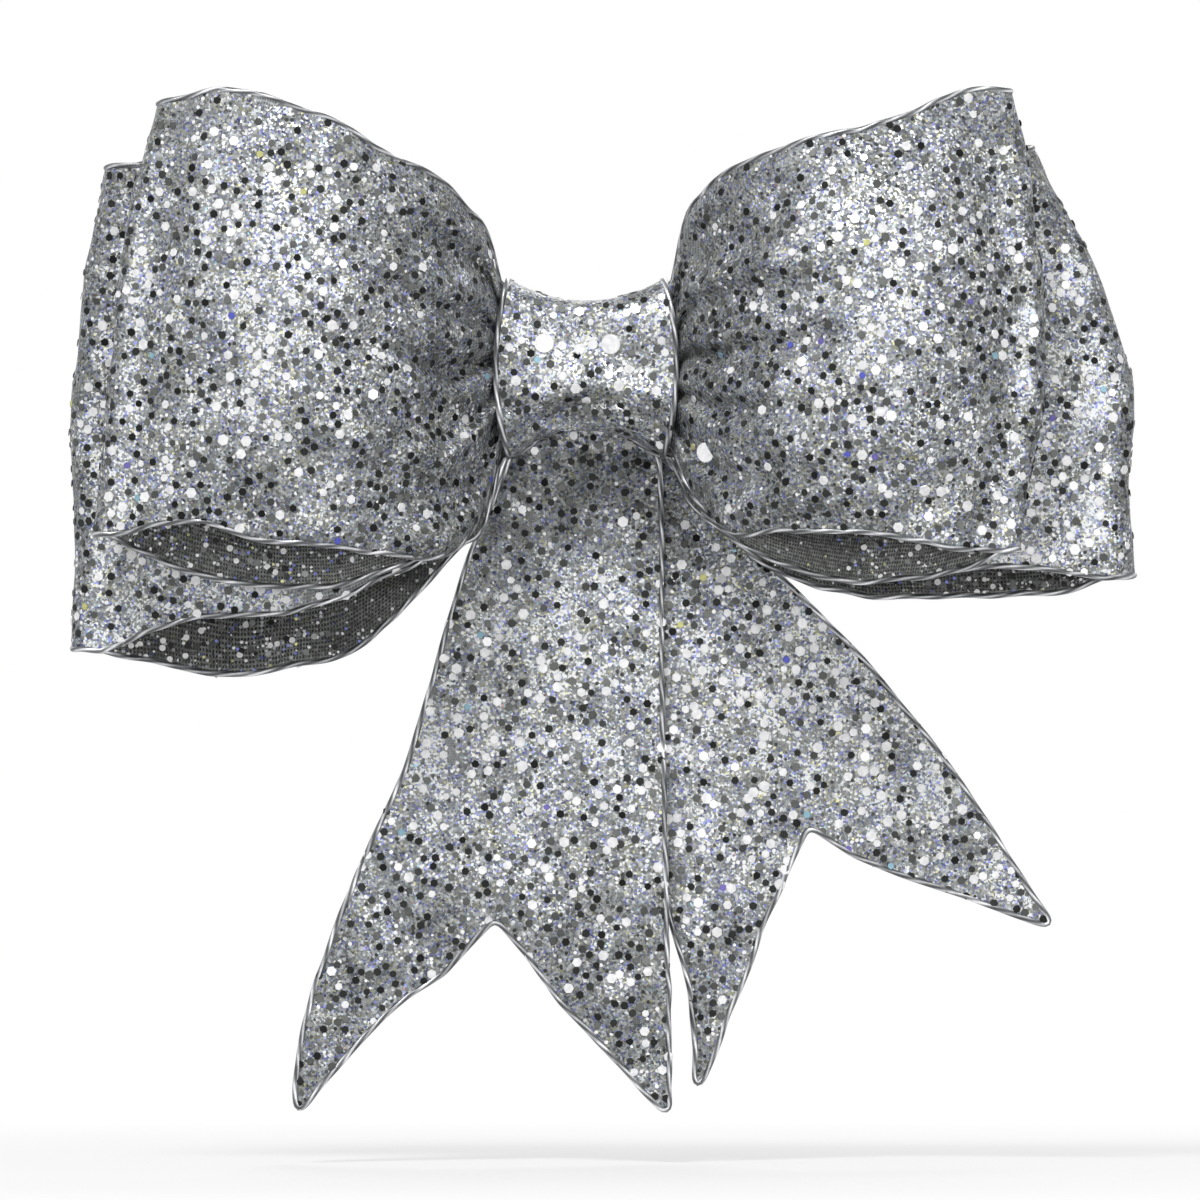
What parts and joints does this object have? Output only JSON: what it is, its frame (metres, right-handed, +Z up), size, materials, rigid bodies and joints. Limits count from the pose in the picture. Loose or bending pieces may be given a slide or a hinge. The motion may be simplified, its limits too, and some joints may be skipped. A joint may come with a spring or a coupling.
{
  "type": "gift bow",
  "caption": "Pre-made bow of wired silver glitter ribbon with two pairs of loops, a knot band, two swallow-tail tails and a twist tie behind.",
  "frame": {"origin": "middle of the knot band's flat back, level with the middle of the knot", "axes": "+Z up (the tails hang down), +Y out of the flat back, so the bow faces -Y, +X to the right seen from the front"},
  "size_m": [0.231, 0.059, 0.2236],
  "materials": {
    "glitter_ribbon": "silver mesh ribbon coated with loose glitter flakes and sequins",
    "silver_edging": "silver metallic thread wound over a thin steel wire",
    "steel_wire": "bare florist wire",
    "clear_glue": "set hot-melt glue",
    "tie_plastic": "silver-grey plastic strip over a wire core"
  },
  "bodies": {
    "knot": {"knot_band": "glitter_ribbon", "band_left_wire": "silver_edging", "band_right_wire": "silver_edging", "band_glue": "clear_glue", "cinch_wire": "steel_wire", "tie_bridge": "tie_plastic", "front_loop_ribbon": "glitter_ribbon", "front_loop_top_wire": "silver_edging", "front_loop_bottom_wire": "silver_edging", "back_loop_ribbon": "glitter_ribbon", "back_loop_top_wire": "silver_edging", "back_loop_bottom_wire": "silver_edging"},
    "left_tail": {"left_tail": "glitter_ribbon", "left_tail_wire": "silver_edging"},
    "right_tail": {"right_tail": "glitter_ribbon", "right_tail_wire": "silver_edging"},
    "tie_leg_left": {"tie_leg_left": "tie_plastic"},
    "tie_leg_right": {"tie_leg_right": "tie_plastic"}
  },
  "joints": [
    {"name": "left_tail_swing", "type": "hinge", "parent": "knot", "child": "left_tail", "pos_m": [0, -0.0047, 0], "axis": [0, 1, 0], "range_deg": [-10, 10]},
    {"name": "right_tail_swing", "type": "hinge", "parent": "knot", "child": "right_tail", "pos_m": [0, -0.0029, 0], "axis": [0, 1, 0], "range_deg": [-12, 10]},
    {"name": "tie_leg_left_bend", "type": "hinge", "parent": "knot", "child": "tie_leg_left", "pos_m": [-0.0192, -0.0015, 0], "axis": [0, 0, -1], "range_deg": [0, 90]},
    {"name": "tie_leg_right_bend", "type": "hinge", "parent": "knot", "child": "tie_leg_right", "pos_m": [0.0192, -0.0015, 0], "axis": [0, 0, 1], "range_deg": [0, 90]}
  ]
}
